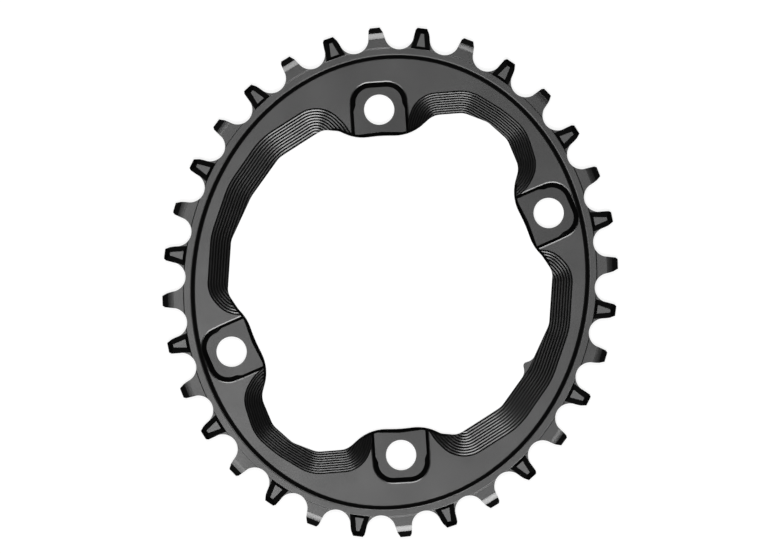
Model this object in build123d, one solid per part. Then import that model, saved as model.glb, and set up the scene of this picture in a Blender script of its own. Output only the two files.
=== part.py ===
"""Oval narrow-wide bicycle chainring, milled from one plate.

The ring lies flat on its back face: +Z comes out of the front face, the origin is on the axis of
the bolt circle at the back face, and +Y points at the crank arm, where the index nub is.
All lengths are in millimetres.
"""

import os
from math import atan2, cos, hypot, pi, radians, sin

from build123d import *

# Chain drive
CHAIN_PITCH = 12.7
TEETH = 32
OVALITY = 1.133  # long over short diameter of the pitch curve
OVAL_ANGLE = 23.96  # the long diameter, counter-clockwise from +X

# Thickness: the back face is at z = 0
BODY_THICKNESS = 4.2
TOOTH_CENTRE_Z = 2.0
BAND_THICKNESS = 2.1
WIDE_THICKNESS = 3.6
TIP_THICKNESS = 0.58

# Step between band and body, as depths inside the pitch curve
STEP_OUTER_DEPTH = 5.7
STEP_INNER_DEPTH = 6.42

# Gentle slope along the front edges of the step and the pockets, and at the foot of the step
EDGE_RUN = 0.3
EDGE_DROP = 0.05

# Bolts
BOLT_CIRCLE = 96.0
BOLT_ANGLE = 35.0  # each hole from the X axis
HOLE_RADIUS = 4.2
TAB_FLOOR_Z = 3.0

# Tooth outline, x along the pitch curve and y outward from the middle of the tooth's chord
SEAT_DEPTH = 4.0
SEAT_END = (2.41, -1.03)
TIP_Y = 2.65
LEAN_FLANK = ((-2.14, 0.3), (-1.87, 1.3), (-1.15, TIP_Y))
STEEP_FLANK = ((1.55, TIP_Y), (2.0, 2.05), (2.15, 1.0))
TIP_BEVEL_START = -0.45
TIP_BEVEL_BREAK = (1.1, 0.82)  # y, and half the thickness there

# Raised pad of a wide tooth: half-widths of its flat top, and how far its slopes run to the band
PAD_BASE_Y = -2.45
PAD_TOP_Y = 1.15
PAD_BASE_HALF = 1.17
PAD_TOP_HALF = 0.42
PAD_BASE_RUN = 0.8
PAD_SIDE_RUN = 1.45

# Stepped slopes between the tabs
TERRACES = 10
TERRACE_DROP = 0.3
RISER_DROP = 0.245
RISER_SHARE = 0.6  # of a terrace's width
LONG_TERRACE = 0.765  # width in the two gaps on the Y axis
SHORT_TERRACE = 0.655  # width in the two gaps on the X axis

# Pocket round a bolt hole: where it ends along the tab, its half-widths at that end and at the
# rim, and the radius of its corners
POCKET_FLOOR = (54.2, 6.45, 7.1, 4.2)
POCKET_TOP = (55.6, 7.8, 7.9, 5.5)
POCKET_NARROWING = (47.9, 49.6)  # along the tab
POCKET_START = 36.0  # along the tab, inside the opening

# Bevel from the tab floors down to the rim, and the broken edge at the back
RIM_RUN = 0.75
RIM_DROP = 0.55
BACK_BEVEL = 0.4
NUB_THICKNESS = 1.1

FRONT_Z = BODY_THICKNESS
BAND_FRONT_Z = TOOTH_CENTRE_Z + BAND_THICKNESS / 2
ABOVE = 1.0  # how far a cutter stands clear of the face that it cuts
LEAST_RADIUS = 0.4  # a corner that shrinks with its outline keeps this radius
HALVINGS = 40  # steps of a search by halving


def on_tab(along, across, side=1):
    """A point by a bolt tab: along its radius, and across it towards the Y axis."""
    angle = radians(BOLT_ANGLE)
    x = along * cos(angle) - across * sin(angle)
    y = along * sin(angle) + across * cos(angle)
    return (side * x, y)


# Corners of the outlines as (point, corner radius), counter-clockwise
TAB_FLANK_RADIUS = 12.0
TAB_NOSE_RADIUS = 40.7
HALF_BORE = [
    ((52.05, 0.0), 5.0),
    ((50.75, 7.1), 5.0),
    ((45.8, 13.95), 5.5),
    (on_tab(40.22, -8.22), TAB_FLANK_RADIUS),
    (on_tab(40.8, 0.0), TAB_NOSE_RADIUS),
    (on_tab(40.31, 7.03), TAB_FLANK_RADIUS),
    ((28.4, 33.95), 3.0),
    ((26.4, 38.0), 4.5),
    ((13.5, 44.28), 5.0),
    ((0.24, 45.27), 10.0),
    ((-12.96, 43.73), 5.0),
    ((-26.03, 36.92), 4.5),
    ((-28.34, 31.9), 6.0),
    (on_tab(40.31, 7.03, -1), TAB_FLANK_RADIUS),
    (on_tab(40.8, 0.0, -1), TAB_NOSE_RADIUS),
    (on_tab(40.22, -8.22, -1), TAB_FLANK_RADIUS),
    ((-45.8, 13.95), 5.5),
    ((-50.75, 7.1), 5.0),
]
LONG_GAP = [
    ((17.0, 4.0), 0.0),
    ((31.0, 33.5), 12.0),
    ((33.2, 42.9), 8.5),
    ((15.4, 51.65), 20.0),
    ((-0.3, 52.55), 20.0),
    ((-14.8, 49.35), 20.0),
    ((-29.2, 41.8), 8.0),
    ((-31.4, 34.2), 8.0),
    ((-16.0, 6.9), 0.0),
]
SHORT_GAP = [
    ((16.0, -10.7), 0.0),
    ((42.0, -19.0), 12.0),
    ((48.6, -18.6), 8.5),
    ((55.9, -10.2), 12.0),
    ((57.25, -2.0), 30.0),
    ((57.2, 8.9), 11.0),
    ((48.5, 20.9), 8.0),
    ((40.8, 19.3), 8.0),
    ((16.0, 8.3), 0.0),
]


# Outlines with rounded corners


def grown(corners, distance):
    """The same outline with every side moved out by the distance."""
    moved = []
    for i, (point, radius) in enumerate(corners):
        before = corners[i - 1][0]
        after = corners[(i + 1) % len(corners)][0]
        heading_in = atan2(point[1] - before[1], point[0] - before[0])
        heading_out = atan2(after[1] - point[1], after[0] - point[0])
        half_turn = ((heading_out - heading_in + pi) % (2 * pi) - pi) / 2
        reach = distance / cos(half_turn)
        away = heading_in + half_turn - pi / 2
        new_point = (point[0] + reach * cos(away), point[1] + reach * sin(away))
        if radius > 0:
            change = distance if half_turn > 0 else -distance
            radius = max(LEAST_RADIUS, radius + change)
        moved.append((new_point, radius))
    return moved


def outline(corners, z=0.0, distance=0.0):
    """A flat face with rounded corners, grown by the distance, at the height z."""
    corners = grown(corners, distance)
    points = [point for point, _ in corners]
    radii = [radius for _, radius in corners]
    return Pos(0, 0, z) * make_face(FilletPolyline(*points, radius=radii, close=True))


def half_turned(shape):
    """The shape turned half a turn about the axis."""
    return Rot(0, 0, 180) * shape


# Pitch curve


def pitch_point(short, turn):
    """A point of the pitch ellipse, with its long axis along X."""
    return (OVALITY * short * cos(turn), short * sin(turn))


def next_seat(short, turn):
    """The turn at which the next roller sits, one pitch further on."""
    x, y = pitch_point(short, turn)
    low, high = turn, turn + 3 * CHAIN_PITCH / short
    for _ in range(HALVINGS):
        middle = (low + high) / 2
        mx, my = pitch_point(short, middle)
        if hypot(mx - x, my - y) < CHAIN_PITCH:
            low = middle
        else:
            high = middle
    return low


def quarter_turns(short):
    """The turns of the rollers in one quarter, the first half a pitch from the long axis."""
    turn = atan2(CHAIN_PITCH / 2, (short**2 - (CHAIN_PITCH / 2) ** 2) ** 0.5)
    turns = [turn]
    for _ in range(TEETH // 4 - 1):
        turns.append(next_seat(short, turns[-1]))
    return turns


def short_radius():
    """The short radius that seats a roller half a pitch from the short axis as well."""
    circle = TEETH * CHAIN_PITCH / (2 * pi)
    low, high = circle * 0.8, circle * 1.1
    for _ in range(HALVINGS):
        middle = (low + high) / 2
        last = pitch_point(middle, quarter_turns(middle)[-1])
        if last[0] < CHAIN_PITCH / 2:
            low = middle
        else:
            high = middle
    return low


SHORT_RADIUS = short_radius()
LONG_RADIUS = OVALITY * SHORT_RADIUS


def roller_seats():
    """All roller centres, counter-clockwise from the long axis."""
    quarter = [pitch_point(SHORT_RADIUS, turn) for turn in quarter_turns(SHORT_RADIUS)]
    half = quarter + [(-x, y) for x, y in reversed(quarter)]
    seats = half + [(-x, -y) for x, y in half]
    angle = radians(OVAL_ANGLE)
    return [(x * cos(angle) - y * sin(angle), x * sin(angle) + y * cos(angle)) for x, y in seats]


def oval(depth, z=0.0):
    """The face inside a curve that runs at the depth inside the pitch curve."""
    face = make_face(Ellipse(LONG_RADIUS - depth, SHORT_RADIUS - depth).edge())
    return Pos(0, 0, z) * Rot(0, 0, OVAL_ANGLE) * face


# Teeth


class Tooth:
    """The place of one tooth: the middle of its chord and its two directions."""

    def __init__(self, before, after):
        self.middle = ((before[0] + after[0]) / 2, (before[1] + after[1]) / 2)
        length = hypot(after[0] - before[0], after[1] - before[1])
        self.along = ((after[0] - before[0]) / length, (after[1] - before[1]) / length)
        self.out = (self.along[1], -self.along[0])

    def at(self, x, y, z=0.0):
        """A point given in the tooth's own x and y."""
        world_x = self.middle[0] + x * self.along[0] + y * self.out[0]
        world_y = self.middle[1] + x * self.along[1] + y * self.out[1]
        return (world_x, world_y, z)

    def cross_plane(self):
        """The plane across the tooth's width, x outward and y up from the middle thickness."""
        origin = self.at(0, 0, TOOTH_CENTRE_Z)
        return Plane(origin, x_dir=(*self.out, 0), z_dir=(-self.along[0], -self.along[1], 0))


def all_teeth():
    """The 32 teeth, the first one on the long axis; the even ones are wide."""
    seats = roller_seats()
    return [Tooth(seats[i - 1], seats[i]) for i in range(TEETH)]


def toothed_outline(teeth):
    """The outer silhouette: a round seat for each roller and a tooth with flat flanks between."""
    edges = []
    for i, tooth in enumerate(teeth):
        following = teeth[(i + 1) % TEETH]
        seat_start = tooth.at(*SEAT_END)
        seat_finish = following.at(-SEAT_END[0], SEAT_END[1])
        low_a = tooth.at(CHAIN_PITCH / 2, -SEAT_DEPTH)
        low_b = following.at(-CHAIN_PITCH / 2, -SEAT_DEPTH)
        seat_floor = ((low_a[0] + low_b[0]) / 2, (low_a[1] + low_b[1]) / 2, 0)
        flanks = [tooth.at(*point) for point in LEAN_FLANK + STEEP_FLANK]
        flanks = [tooth.at(-SEAT_END[0], SEAT_END[1]), *flanks, seat_start]
        edges += [Line(flanks[k], flanks[k + 1]).edge() for k in range(len(flanks) - 1)]
        edges.append(ThreePointArc(seat_start, seat_floor, seat_finish).edge())
    return make_face(edges)


def pad(tooth):
    """The raised front pad of a wide tooth: a flat top with a flat slope on every side."""
    top_z = TOOTH_CENTRE_Z + WIDE_THICKNESS / 2
    foot_z = TOOTH_CENTRE_Z + TIP_THICKNESS / 2
    fall = (top_z - foot_z) / (top_z - BAND_FRONT_Z)
    narrowing = (PAD_BASE_HALF - PAD_TOP_HALF) / (PAD_TOP_Y - PAD_BASE_Y)

    def across(y, z, run=0.0):
        half = PAD_BASE_HALF - narrowing * (y - PAD_BASE_Y) + run
        return [tooth.at(-half, y, z), tooth.at(half, y, z)]

    corners = across(PAD_BASE_Y, top_z) + across(PAD_TOP_Y, top_z)
    corners += across(PAD_BASE_Y - PAD_BASE_RUN * fall, foot_z, PAD_SIDE_RUN * fall)
    corners += across(TIP_Y, foot_z, PAD_SIDE_RUN * fall)
    return ConvexPolyhedron(corners)


def tip_cutter(tooth):
    """What the two flats of the bevel take off the front of a tooth's tip."""
    beyond = TIP_Y + ABOVE
    profile = Polygon(
        (TIP_BEVEL_START, BAND_THICKNESS / 2),
        TIP_BEVEL_BREAK,
        (TIP_Y, TIP_THICKNESS / 2),
        (beyond, TIP_THICKNESS / 2),
        (beyond, WIDE_THICKNESS),
        (TIP_BEVEL_START, WIDE_THICKNESS),
        align=None,
    )
    return extrude(tooth.cross_plane() * profile, amount=CHAIN_PITCH / 4, both=True)


def mirrored(shape):
    """The same shape on the back of the teeth."""
    return mirror(shape, about=Plane.XY.offset(TOOTH_CENTRE_Z))


def slab(face, thickness):
    """The face as a plate with its middle at the middle of the teeth."""
    return extrude(Pos(0, 0, TOOTH_CENTRE_Z) * face, amount=thickness / 2, both=True)


def toothed_plate():
    """Narrow teeth, the band at their foot, and the pads that make every other tooth wide."""
    teeth = all_teeth()
    silhouette = toothed_outline(teeth)
    plate = slab(silhouette, BAND_THICKNESS)
    plate -= [tip_cutter(tooth) for tooth in teeth]
    plate -= [mirrored(tip_cutter(tooth)) for tooth in teeth]
    pads = [pad(tooth) for tooth in teeth[::2]]
    full = slab(silhouette, WIDE_THICKNESS + ABOVE)
    wide = [full & one for one in pads]
    return plate + wide + [mirrored(one) for one in wide]


# Body


def front_body():
    """The body in front of the band: a sloped step with a gentle slope at its foot and edge."""
    sections = [
        oval(STEP_OUTER_DEPTH - EDGE_RUN, TOOTH_CENTRE_Z),
        oval(STEP_OUTER_DEPTH - EDGE_RUN, BAND_FRONT_Z),
        oval(STEP_OUTER_DEPTH, BAND_FRONT_Z + EDGE_DROP),
        oval(STEP_INNER_DEPTH, FRONT_Z - EDGE_DROP),
        oval(STEP_INNER_DEPTH + EDGE_RUN, FRONT_Z),
    ]
    return loft(sections, ruled=True)


def back_body():
    """The body behind the band, stepped in the same way."""
    sections = [
        oval(STEP_INNER_DEPTH, 0),
        oval(STEP_OUTER_DEPTH, TOOTH_CENTRE_Z - BAND_THICKNESS / 2),
        oval(STEP_OUTER_DEPTH, TOOTH_CENTRE_Z),
    ]
    return loft(sections, ruled=True)


BORE = HALF_BORE + [((-x, -y), radius) for (x, y), radius in HALF_BORE]


def bore_cutter():
    """The big opening through the ring, with its back edge broken."""
    through = extrude(outline(BORE, -ABOVE), amount=BODY_THICKNESS + 2 * ABOVE)
    back = loft([outline(BORE, 0, BACK_BEVEL), outline(BORE, BACK_BEVEL)], ruled=True)
    return through + back


def rim_bevel_cutter():
    """The bevel from the tab floors down to the rim of the opening."""
    sections = [
        outline(BORE, TAB_FLOOR_Z - RIM_DROP),
        outline(BORE, TAB_FLOOR_Z, RIM_RUN),
        outline(BORE, FRONT_Z + ABOVE, RIM_RUN),
    ]
    return loft(sections, ruled=True)


def terrace_cutter(gap, width):
    """The stepped slope of one gap: each terrace falls steeply, then runs in gently."""
    sections = [outline(gap, FRONT_Z + ABOVE), outline(gap, FRONT_Z)]
    for step in range(TERRACES):
        z = FRONT_Z - step * TERRACE_DROP
        sections.append(outline(gap, z - RISER_DROP, -(step + RISER_SHARE) * width))
        sections.append(outline(gap, z - TERRACE_DROP, -(step + 1) * width))
    return loft(sections, ruled=True)


def pocket_cutter(side):
    """The open-ended pocket round one bolt hole, with sloped walls and a gentle front edge."""

    def section(z, size, extra=0.0):
        end, upper, lower, radius = size
        half = [(POCKET_START, lower, 0), (POCKET_NARROWING[0], lower, 0)]
        half += [(POCKET_NARROWING[1], upper, 0), (end + extra, upper, radius + extra)]
        corners = [(on_tab(u, v + extra, side), r) for u, v, r in half]
        corners += [(on_tab(u, -v - extra, side), r) for u, v, r in reversed(half)]
        points = [point for point, _ in corners]
        radii = [radius for _, radius in corners]
        return Pos(0, 0, z) * make_face(FilletPolyline(*points, radius=radii, close=True))

    sections = [
        section(TAB_FLOOR_Z, POCKET_FLOOR),
        section(FRONT_Z - EDGE_DROP, POCKET_TOP),
        section(FRONT_Z, POCKET_TOP, EDGE_RUN),
        section(FRONT_Z + ABOVE, POCKET_TOP, EDGE_RUN),
    ]
    return loft(sections, ruled=True)


def bolt_hole_cutter():
    """One plain bolt hole."""
    return Pos(0, 0, BODY_THICKNESS / 2) * Cylinder(HOLE_RADIUS, 2 * BODY_THICKNESS)


def bolt_places():
    """The centres of the four bolt holes."""
    centre = on_tab(BOLT_CIRCLE / 2, 0)
    return [Pos(right * centre[0], up * centre[1]) for right in (1, -1) for up in (1, -1)]


def index_nub():
    """The small pointed nub in the opening that marks the crank arm's side."""
    corners = [
        ((-6.0, 46.5), 0.0),
        ((-6.0, 44.6), 0.0),
        ((-2.2, 45.05), 3.2),
        ((0.0, 43.1), 1.0),
        ((2.2, 45.1), 3.2),
        ((6.0, 44.85), 0.0),
        ((6.0, 46.5), 0.0),
    ]
    return extrude(outline(corners), amount=NUB_THICKNESS)


def chainring():
    """The whole ring as one solid."""
    ring = toothed_plate() + front_body() + back_body()
    ring -= bore_cutter()
    ring -= rim_bevel_cutter()
    for gap, width in ((LONG_GAP, LONG_TERRACE), (SHORT_GAP, SHORT_TERRACE)):
        cutter = terrace_cutter(gap, width)
        ring -= [cutter, half_turned(cutter)]
    for side in (1, -1):
        cutter = pocket_cutter(side)
        ring -= [cutter, half_turned(cutter)]
    ring -= [place * bolt_hole_cutter() for place in bolt_places()]
    return ring + index_nub()


def main():
    os.makedirs("parts", exist_ok=True)
    ring = chainring()
    print(f"pitch curve {2 * LONG_RADIUS:.2f} by {2 * SHORT_RADIUS:.2f} mm")
    print(f"{len(ring.solids())} solid, {ring.volume / 1000:.2f} cm3, {len(ring.faces())} faces")
    export_step(ring.solid(), "parts/chainring.step")


main()
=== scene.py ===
# %% [markdown]
# # An oval chainring in black anodised aluminium
# The real part is milled from one plate, so one solid carries every shape that is seen here:
# the teeth, the stepped slopes, the pockets and the bolt holes.
# Blender gives it its finish, its light and its camera. No piece is added, because nothing is
# fixed to the real ring either: the photograph shows no bolts, sleeves or caps.

# %% Load the solid
import math

import bpy
from mathutils import Matrix, Vector

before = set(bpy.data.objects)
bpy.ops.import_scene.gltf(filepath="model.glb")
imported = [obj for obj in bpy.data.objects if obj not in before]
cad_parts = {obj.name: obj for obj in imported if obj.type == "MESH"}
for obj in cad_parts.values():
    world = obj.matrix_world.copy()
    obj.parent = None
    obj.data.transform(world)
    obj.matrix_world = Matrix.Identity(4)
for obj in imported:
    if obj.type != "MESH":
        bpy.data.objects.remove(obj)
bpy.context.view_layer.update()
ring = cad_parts["chainring"]
MM = 0.001
print("triangles:", len(ring.data.polygons))

# %% [markdown]
# ## The camera
# The photograph looks almost straight down on the front face, from so far away that both sides
# of the ring have one scale. A long lens could be used at that distance. An orthographic camera
# has one scale everywhere, and needs no distance to be found.
# The ring is turned in the picture. Its +Y axis, which points at the crank arm, runs down and
# to the right. The solid isn't turned, because it has to stay in its own frame, so the camera
# is turned about the vertical by the same angle.

# %% Find where the camera looks
IMAGE_WIDTH = 780
IMAGE_HEIGHT = 554
PIXELS_PER_MM = 3.6047
RING_CENTRE_PIXEL = (390.14, 282.35)
PICTURE_TURN = math.radians(121.37)

picture_right = Vector((math.cos(PICTURE_TURN), math.sin(PICTURE_TURN), 0))
picture_up = Vector((-math.sin(PICTURE_TURN), math.cos(PICTURE_TURN), 0))
straight_up = Vector((0, 0, 1))
off_right = (IMAGE_WIDTH / 2 - RING_CENTRE_PIXEL[0]) / PIXELS_PER_MM * MM
off_up = (RING_CENTRE_PIXEL[1] - IMAGE_HEIGHT / 2) / PIXELS_PER_MM * MM
looked_at = picture_right * off_right + picture_up * off_up
print("the camera looks at", [round(v / MM, 2) for v in looked_at], "mm")

# %% Place the camera
CAMERA_HEIGHT = 0.5

camera_data = bpy.data.cameras.new("straight_down")
camera_data.type = "ORTHO"
camera_data.ortho_scale = IMAGE_WIDTH / PIXELS_PER_MM * MM
camera = bpy.data.objects.new("straight_down", camera_data)
turned = Matrix((picture_right, picture_up, straight_up)).transposed().to_4x4()
camera.matrix_world = Matrix.Translation(looked_at + straight_up * CAMERA_HEIGHT) @ turned
bpy.context.scene.collection.objects.link(camera)
bpy.context.scene.camera = camera
print("the picture is", round(camera_data.ortho_scale / MM, 1), "mm wide")

# %% [markdown]
# ## Black anodised aluminium
# Anodising grows a thin layer of clear oxide on the metal, and the layer is dyed black. Two
# sheens lie over each other: the sealed skin mirrors the lamps sharply, and the etched metal
# below it spreads them. Two glossy shaders could be mixed for that. The Principled shader
# already has both, as its coat and its base, and a game engine can read it too. There is
# almost no base colour, so nearly all that is seen is mirrored light.

# %% The shader
BASE_SHEEN = 0.13
COAT_ROUGHNESS = 0.17

black = bpy.data.materials.new("black_anodised")
black.use_nodes = True
tree = black.node_tree
shader = tree.nodes["Principled BSDF"]
shader.inputs["Specular IOR Level"].default_value = BASE_SHEEN
shader.inputs["Coat Roughness"].default_value = COAT_ROUGHNESS
ring.data.materials.clear()
ring.data.materials.append(black)
print("materials on the ring:", [slot.name for slot in ring.data.materials])

# %% [markdown]
# ### Small nodes, joined by helpers
# The finish is a tree of small nodes, mostly sums, which could be wired by hand in the shader
# editor. Four helpers keep the next cells short. One adds a math node, whose inputs are numbers
# or other nodes' outputs. One makes a ramp that rises smoothly from 0 to 1 between two values.
# One joins two ramps, and is 1 only between them. One makes a noise texture.


# %% Helpers for sums and ramps
def math_node(nodes_of, operation, *values):
    """A math node whose inputs are numbers or the outputs of other nodes."""
    node = nodes_of.nodes.new("ShaderNodeMath")
    node.operation = operation
    for socket, value in zip(node.inputs, values):
        if isinstance(value, (int, float)):
            socket.default_value = value
        else:
            nodes_of.links.new(value, socket)
    return node.outputs[0]


def ramp(nodes_of, value, low, high):
    """0 below low, 1 above high, and a smooth rise between them."""
    node = nodes_of.nodes.new("ShaderNodeMapRange")
    node.interpolation_type = "SMOOTHSTEP"
    node.inputs["From Min"].default_value = low
    node.inputs["From Max"].default_value = high
    nodes_of.links.new(value, node.inputs["Value"])
    return node.outputs["Result"]


def between(nodes_of, value, rise, fall):
    """0 before the rise and after the fall, and 1 between them."""
    risen = ramp(nodes_of, value, *rise)
    return math_node(nodes_of, "SUBTRACT", risen, ramp(nodes_of, value, *fall))


# %% A helper for noise
def noise(vector, per_unit, detail):
    """Noise that changes about so many times in a unit of the vector."""
    node = tree.nodes.new("ShaderNodeTexNoise")
    node.inputs["Scale"].default_value = per_unit
    node.inputs["Detail"].default_value = detail
    tree.links.new(vector, node.inputs["Vector"])
    return node.outputs["Fac"]


# %% [markdown]
# ### Where on the ring is this point?
# The cutter went round the ring on ovals, so its marks follow ovals too. A point's depth
# inside the pitch curve, in millimetres, says which of them it lies on. The depth could be
# stored on the mesh as an attribute. It is worked out in nodes here, so that the solid's mesh
# stays as it is.
# The pitch curve is an ellipse. First the coordinates are turned so that its long diameter lies
# along X, and divided by its two radii, which turns it into a circle of radius 1.

# %% Turn the ellipse into a circle
LONG_RADIUS = 68.76
SHORT_RADIUS = 60.69
OVAL_ANGLE = math.radians(23.96)

position = tree.nodes.new("ShaderNodeTexCoord").outputs["Object"]
spin = tree.nodes.new("ShaderNodeVectorRotate")
spin.rotation_type = "Z_AXIS"
spin.inputs["Angle"].default_value = -OVAL_ANGLE
tree.links.new(position, spin.inputs["Vector"])
on_oval = tree.nodes.new("ShaderNodeSeparateXYZ")
tree.links.new(spin.outputs["Vector"], on_oval.inputs["Vector"])
along_long = math_node(tree, "DIVIDE", on_oval.outputs["X"], LONG_RADIUS * MM)
along_short = math_node(tree, "DIVIDE", on_oval.outputs["Y"], SHORT_RADIUS * MM)
turn = math_node(tree, "ARCTAN2", along_short, along_long)
height = math_node(tree, "DIVIDE", on_oval.outputs["Z"], MM)
print("the pitch curve's radii:", LONG_RADIUS, "and", SHORT_RADIUS, "mm")

# %% [markdown]
# On the circle the depth is 1 minus the radius. A millimetre is a longer part of the short
# radius than of the long one, so the depth is divided by how much of the circle's radius one
# millimetre makes in the point's own direction.

# %% Depth inside the pitch curve
square_long = math_node(tree, "MULTIPLY", along_long, along_long)
square_short = math_node(tree, "MULTIPLY", along_short, along_short)
square = math_node(tree, "ADD", square_long, square_short)
part_long = math_node(tree, "DIVIDE", square_long, LONG_RADIUS)
part_short = math_node(tree, "DIVIDE", square_short, SHORT_RADIUS)
per_mm = math_node(tree, "DIVIDE", math_node(tree, "ADD", part_long, part_short), square)
short_of_one = math_node(tree, "SUBTRACT", 1.0, math_node(tree, "SQRT", square))
depth = math_node(tree, "DIVIDE", short_of_one, per_mm)
print("nodes for the depth:", len(tree.nodes))

# %% [markdown]
# ### Milling marks and satin grain
# A cutter leaves very fine lines along its path: a noise that changes quickly across the path
# and slowly along it. Before it is anodised, the metal is etched, which leaves a grain of about
# a tenth of a millimetre, and the dye takes unevenly over a centimetre or two. So there are
# three noises of very different scale. A scanned picture would need the solid to be unwrapped,
# and noise doesn't.

# %% Marks, grain and clouds
MARKS_PER_MM = 4.0
MARKS_DETAIL = 3.0
GRAIN_PER_MM = 9.0
GRAIN_DETAIL = 2.0
CLOUDS_PER_MM = 0.08
CLOUDS_DETAIL = 3.0

path = tree.nodes.new("ShaderNodeCombineXYZ")
tree.links.new(math_node(tree, "MULTIPLY", depth, MARKS_PER_MM), path.inputs["X"])
tree.links.new(turn, path.inputs["Y"])
marks = noise(path.outputs["Vector"], 1.0, MARKS_DETAIL)
grain = noise(position, GRAIN_PER_MM / MM, GRAIN_DETAIL)
clouds = noise(position, CLOUDS_PER_MM / MM, CLOUDS_DETAIL)
print("a grain is about", round(1 / GRAIN_PER_MM, 2), "mm, a cloud", 1 / CLOUDS_PER_MM, "mm")

# %% [markdown]
# ### Which surface is this?
# Four questions sort the ring's surfaces. Does the face lie flat? Is it the land on top of a
# wide tooth, which is faced in a pass of its own and stays a little paler? Is it the floor of a
# bolt tab, which is a little duller? Is it in the corner of the step inside the band? There the
# sheen is taken away, as painted shade that makes the dark line of the step's slope wider and blacker.
# Each surface could get a material of its own, face by face. Masks leave the ring in one
# material. A mask is 1 where the answer is yes and 0 elsewhere, with a short smooth change.
# Heights are above the back face, and depths inside the pitch curve, both in millimetres.

# %% Masks
FLAT = (0.991, 0.995)  # how much of the normal points straight up or down
LAND_FROM = (3.73, 3.75)
LAND_TO = (4.13, 4.15)
TAB_FLOOR_FROM = (2.96, 2.98)
TAB_FLOOR_TO = (3.02, 3.04)
CORNER_FROM = (5.47, 5.57)
CORNER_TO = (6.63, 6.73)

surface = tree.nodes.new("ShaderNodeNewGeometry")
facing = tree.nodes.new("ShaderNodeSeparateXYZ")
tree.links.new(surface.outputs["True Normal"], facing.inputs["Vector"])
flat = ramp(tree, math_node(tree, "ABSOLUTE", facing.outputs["Z"]), *FLAT)
land = math_node(tree, "MULTIPLY", between(tree, height, LAND_FROM, LAND_TO), flat)
tab_height = between(tree, height, TAB_FLOOR_FROM, TAB_FLOOR_TO)
tab_floor = math_node(tree, "MULTIPLY", tab_height, flat)
# The corner mask paints shade: it darkens the step's corner and slope beyond what their shape gives.
corner = between(tree, depth, CORNER_FROM, CORNER_TO)
print("the step's corner lies", CORNER_FROM[0], "to", CORNER_TO[1], "mm inside the pitch curve")

# %% [markdown]
# ### Shallow relief
# Some forms are too shallow to be worth edges in the solid, and are drawn as height on a bump
# node. A step a few hundredths of a millimetre high runs round the foot of the teeth, and the
# band's inner edge is slightly rolled over. The bevelled tips of the narrow teeth are crowned:
# their slope starts gently and steepens evenly towards the end, which makes a parabola.

# %% Steps and crown
TOOTH_STEP = (3.33, 3.67)
TOOTH_STEP_RISE = 0.05
BAND_EDGE = (5.2, 5.46)
BAND_EDGE_DROP = 0.015
CROWN_START = 0.75
CROWN_SPAN = 3.25
CROWN_CURVE = 0.032
BAND_TOP = 3.06

edge_drop = math_node(tree, "MULTIPLY", ramp(tree, depth, *BAND_EDGE), -BAND_EDGE_DROP)
at_step = ramp(tree, depth, *TOOTH_STEP)
step_rise = math_node(tree, "MULTIPLY_ADD", at_step, TOOTH_STEP_RISE, edge_drop)
outward = math_node(tree, "SUBTRACT", CROWN_START, depth)
on_tip = math_node(tree, "MAXIMUM", outward, 0.0)
curve = math_node(tree, "MULTIPLY", on_tip, math_node(tree, "SUBTRACT", CROWN_SPAN, on_tip))
below_lands = math_node(tree, "LESS_THAN", height, BAND_TOP)
crown = math_node(tree, "MULTIPLY", curve, below_lands)
band_forms = math_node(tree, "MULTIPLY_ADD", crown, CROWN_CURVE, step_rise)
print("the crown rises", round(CROWN_CURVE * CROWN_SPAN**2 / 4, 3), "mm at most")

# %% [markdown]
# At the noses of the four bolt tabs the bevel of the rim reaches a little further onto the tab,
# over the edge of its floor. The four tabs could be marked one by one. They are mirror images
# of each other, though: with the signs taken off x and y, one turn brings all of them onto one
# line, along which the distance from the ring's axis is read.

# %% Along and across a tab
TAB_ANGLE = math.radians(35.0)

split = tree.nodes.new("ShaderNodeSeparateXYZ")
tree.links.new(position, split.inputs["Vector"])
side_x = math_node(tree, "DIVIDE", math_node(tree, "ABSOLUTE", split.outputs["X"]), MM)
side_y = math_node(tree, "DIVIDE", math_node(tree, "ABSOLUTE", split.outputs["Y"]), MM)
y_along = math_node(tree, "MULTIPLY", side_y, math.sin(TAB_ANGLE))
y_across = math_node(tree, "MULTIPLY", side_y, math.cos(TAB_ANGLE))
tab_along = math_node(tree, "MULTIPLY_ADD", side_x, math.cos(TAB_ANGLE), y_along)
tab_across = math_node(tree, "MULTIPLY_ADD", side_x, -math.sin(TAB_ANGLE), y_across)
aside = math_node(tree, "ABSOLUTE", tab_across)
print("the tabs stand", round(math.degrees(TAB_ANGLE)), "degrees from the X axis")

# %% [markdown]
# The bevel falls evenly from the edge of the floor towards the axis. It is kept to the tabs and
# to the heights between their floor and the bottom of the solid's own bevel.

# %% Bevel at the noses of the tabs
TAB_HALF_WIDTH = 8.5
BEVEL_FROM = 41.85
BEVEL_SLOPE = 0.65
NOSE_SLOPE = 0.07
BEVEL_BOTTOM = 2.3
BEVEL_TOP = 3.05

off_nose = math_node(tree, "MULTIPLY_ADD", aside, NOSE_SLOPE, tab_along)
past_edge = math_node(tree, "MINIMUM", math_node(tree, "SUBTRACT", off_nose, BEVEL_FROM), 0.0)
above_bottom = math_node(tree, "GREATER_THAN", height, BEVEL_BOTTOM)
above_top = math_node(tree, "GREATER_THAN", height, BEVEL_TOP)
at_height = math_node(tree, "SUBTRACT", above_bottom, above_top)
on_tab = math_node(tree, "MULTIPLY", math_node(tree, "LESS_THAN", aside, TAB_HALF_WIDTH), at_height)
bevel = math_node(tree, "MULTIPLY", past_edge, on_tab)
forms = math_node(tree, "MULTIPLY_ADD", bevel, BEVEL_SLOPE, band_forms)
print("the bevel leans", round(math.degrees(math.atan(BEVEL_SLOPE))), "degrees")

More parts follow.
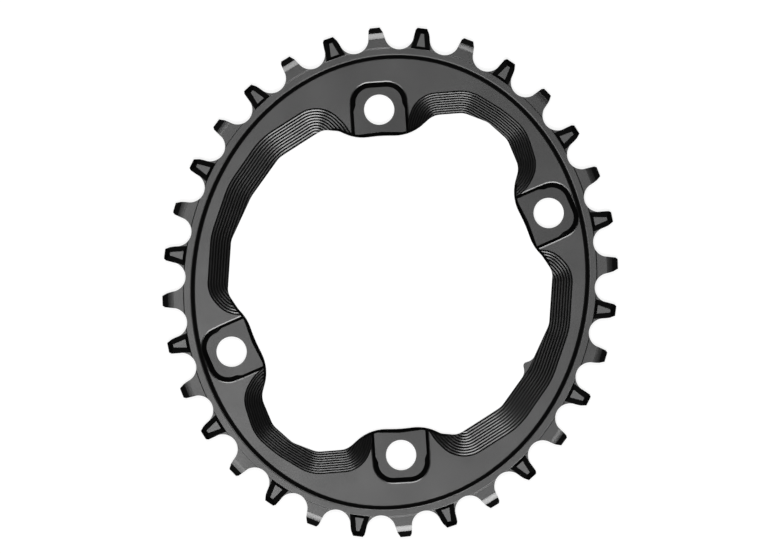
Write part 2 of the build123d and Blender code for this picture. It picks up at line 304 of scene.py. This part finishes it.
# %% [markdown]
# ### Colour
# The dye is nearly black everywhere. The clouds vary it a little, and the lands are paler. One
# flat colour would do from far away, but close up it looks like plastic.

# %% Base colour
DYE_DARK = 0.0008
DYE_PALE = 0.0020
LAND_PALER = 0.036

dye = tree.nodes.new("ShaderNodeMapRange")
dye.inputs["To Min"].default_value = DYE_DARK
dye.inputs["To Max"].default_value = DYE_PALE
tree.links.new(clouds, dye.inputs["Value"])
grey = math_node(tree, "MULTIPLY_ADD", land, LAND_PALER, dye.outputs["Result"])
tone = tree.nodes.new("ShaderNodeCombineColor")
for channel in ("Red", "Green", "Blue"):
    tree.links.new(grey, tone.inputs[channel])
tree.links.new(tone.outputs["Color"], shader.inputs["Base Color"])
print("the dye gives back", DYE_DARK, "to", DYE_PALE, "of the light")

# %% [markdown]
# ### Roughness and coat
# Grain and marks move the roughness a little. The clouds move the thickness of the sealed skin,
# which mottles the faces in the light of the lamps. In the step's corner the roughness goes up
# and the coat goes away, as painted shade that darkens the step's slope. The floors of the tabs
# have a thinner skin. All of this could be painted on the mesh, but the masks are exact.

# %% Roughness
SATIN_ROUGHNESS = 0.27
GRAIN_ROUGHER = 0.015
MARKS_ROUGHER = 0.02
CORNER_SHADE_ROUGHER = 0.5

with_grain = math_node(tree, "MULTIPLY_ADD", grain, GRAIN_ROUGHER, SATIN_ROUGHNESS)
with_marks = math_node(tree, "MULTIPLY_ADD", marks, MARKS_ROUGHER, with_grain)
# In the corner the roughness goes up, as painted shade.
roughness = math_node(tree, "MULTIPLY_ADD", corner, CORNER_SHADE_ROUGHER, with_marks)
tree.links.new(roughness, shader.inputs["Roughness"])
print("roughness:", SATIN_ROUGHNESS, "on the faces,", SATIN_ROUGHNESS + CORNER_SHADE_ROUGHER, "in the corner")

# %% Coat weight
COAT_THIN = 0.30
COAT_CLOUDS = 0.50
TAB_FLOOR_DULLER = 0.25

duller = math_node(tree, "MULTIPLY", tab_floor, TAB_FLOOR_DULLER)
# The corner loses its coat as painted shade; the tab floors keep a thinner skin.
shade_and_thin_skin = math_node(tree, "ADD", corner, duller)
skin = math_node(tree, "MULTIPLY_ADD", clouds, COAT_CLOUDS, COAT_THIN)
coat = math_node(tree, "MULTIPLY", skin, math_node(tree, "SUBTRACT", 1.0, shade_and_thin_skin))
tree.links.new(coat, shader.inputs["Coat Weight"])
print("the coat's weight is", COAT_THIN + COAT_CLOUDS / 2, "on average")

# %% [markdown]
# ### Relief
# The shallow forms, the marks and the grain add up to one height. Displacement would move real
# geometry, but the heights are far smaller than the solid's triangles, so a bump node leans the
# normal instead. Both sheens take that normal: a skin grows with the metal's own shape.
# Grain and marks are kept to the flat faces. The treads of the stepped slopes are so narrow
# that they would break up.

# %% Bump
GRAIN_RELIEF = 0.0002
MARKS_RELIEF = 0.0004

line_height = math_node(tree, "MULTIPLY", marks, MARKS_RELIEF)
fine = math_node(tree, "MULTIPLY_ADD", grain, GRAIN_RELIEF, line_height)
relief = math_node(tree, "MULTIPLY_ADD", fine, flat, forms)
bump = tree.nodes.new("ShaderNodeBump")
bump.inputs["Distance"].default_value = MM
tree.links.new(relief, bump.inputs["Height"])
tree.links.new(bump.outputs["Normal"], shader.inputs["Normal"])
tree.links.new(bump.outputs["Normal"], shader.inputs["Coat Normal"])
print("nodes in the finish:", len(tree.nodes))

# %% [markdown]
# ## A pale floor
# The photograph's ground is pure white, with no shadow, and the ring's steep sides mirror
# nothing of it. White could be set as the background instead, but then nothing would carry the
# ring. So the floor is a matt sheet that is lit from below, as on a light table, and it is left
# out of reflections.

# %% The floor
FLOOR_SIZE = 3.0
FLOOR_GAP = 0.02 * MM
FLOOR_GREY = 0.3
FLOOR_GLOW = 0.78

bpy.ops.mesh.primitive_plane_add(size=FLOOR_SIZE, location=(0, 0, -FLOOR_GAP))
floor = bpy.context.object
floor.name = "floor"
floor.visible_glossy = False
pale = bpy.data.materials.new("pale_floor")
pale.use_nodes = True
pale_shader = pale.node_tree.nodes["Principled BSDF"]
pale_shader.inputs["Base Color"].default_value = (FLOOR_GREY, FLOOR_GREY, FLOOR_GREY, 1)
pale_shader.inputs["Roughness"].default_value = 1.0
pale_shader.inputs["Specular IOR Level"].default_value = 0.0
pale_shader.inputs["Emission Color"].default_value = (1, 1, 1, 1)
pale_shader.inputs["Emission Strength"].default_value = FLOOR_GLOW
floor.data.materials.append(pale)
print("the floor is", FLOOR_SIZE, "m wide and glows with", FLOOR_GLOW)

# %% [markdown]
# ## Lamps
# A flat face that is looked at straight on mirrors what is straight above it. A face that leans
# by some angle mirrors what stands at twice that angle from the zenith. The photograph's tones
# tell where the lamps were: flat faces are mid grey, faces that lean up or down the picture by
# a few degrees are bright, and faces that lean left or right, or steeply, are black.
# A picture of a studio could light the ring all round. A few soft panels can be moved and
# dimmed one by one until each kind of face has its tone.


# %% A lamp in the picture's directions
def panel(name, azimuth, lean, across, along, radiance):
    """A soft lamp a metre away, leaning off the zenith towards a side of the picture."""
    data = bpy.data.lights.new(name, "AREA")
    data.shape = "RECTANGLE"
    data.size = across
    data.size_y = along
    data.energy = radiance * across * along * math.pi
    lamp = bpy.data.objects.new(name, data)
    level = picture_right * math.cos(math.radians(azimuth))
    level += picture_up * math.sin(math.radians(azimuth))
    tilt = math.radians(lean)
    towards = level * math.sin(tilt) + straight_up * math.cos(tilt)
    side = straight_up.cross(level).normalized()
    basis = Matrix((side, side.cross(towards), towards)).transposed().to_4x4()
    lamp.matrix_world = Matrix.Translation(towards) @ basis
    bpy.context.scene.collection.objects.link(lamp)
    print(name, "shines with", round(data.energy, 2), "W")


# %% Hang the lamps
panel("above", azimuth=170, lean=5.1, across=0.06, along=0.45, radiance=3.8)
panel("upper_strip", azimuth=100.6, lean=14.7, across=0.234, along=0.209, radiance=22.6)
panel("lower_strip", azimuth=-80, lean=14.3, across=0.271, along=0.202, radiance=26.5)
panel("left_strip", azimuth=-136.1, lean=14.5, across=0.10, along=0.40, radiance=8.8)
panel("right_spot", azimuth=49.2, lean=21.6, across=0.06, along=0.065, radiance=9.7)

# %% [markdown]
# ## The room
# One dark grey all round would do for the photograph's view, but leave the ring black from the
# side. So the room is dark overhead, where the flat faces would mirror it, and near the floor,
# where the steepest slopes would, and a little paler in between. It stays a weak light, because
# a brighter one turns the black gaps between the bright treads grey.

# %% The room's light
ROOM_DARK = 0.01
ROOM_PALE = 0.07
PALE_FROM = (0.15, 0.40)
PALE_TO = (0.80, 0.93)

room = bpy.data.worlds.new("studio")
bpy.context.scene.world = room
room.use_nodes = True
sky = room.node_tree
seen_along = sky.nodes.new("ShaderNodeTexCoord").outputs["Generated"]
direction = sky.nodes.new("ShaderNodeSeparateXYZ")
sky.links.new(seen_along, direction.inputs["Vector"])
walls = between(sky, direction.outputs["Z"], PALE_FROM, PALE_TO)
strength = math_node(sky, "MULTIPLY_ADD", walls, ROOM_PALE - ROOM_DARK, ROOM_DARK)
sky.links.new(strength, sky.nodes["Background"].inputs["Strength"])
sky.nodes["Background"].inputs["Color"].default_value = (1, 1, 1, 1)
bpy.context.scene.view_settings.view_transform = "Standard"
print("the room shines with", ROOM_DARK, "to", ROOM_PALE)
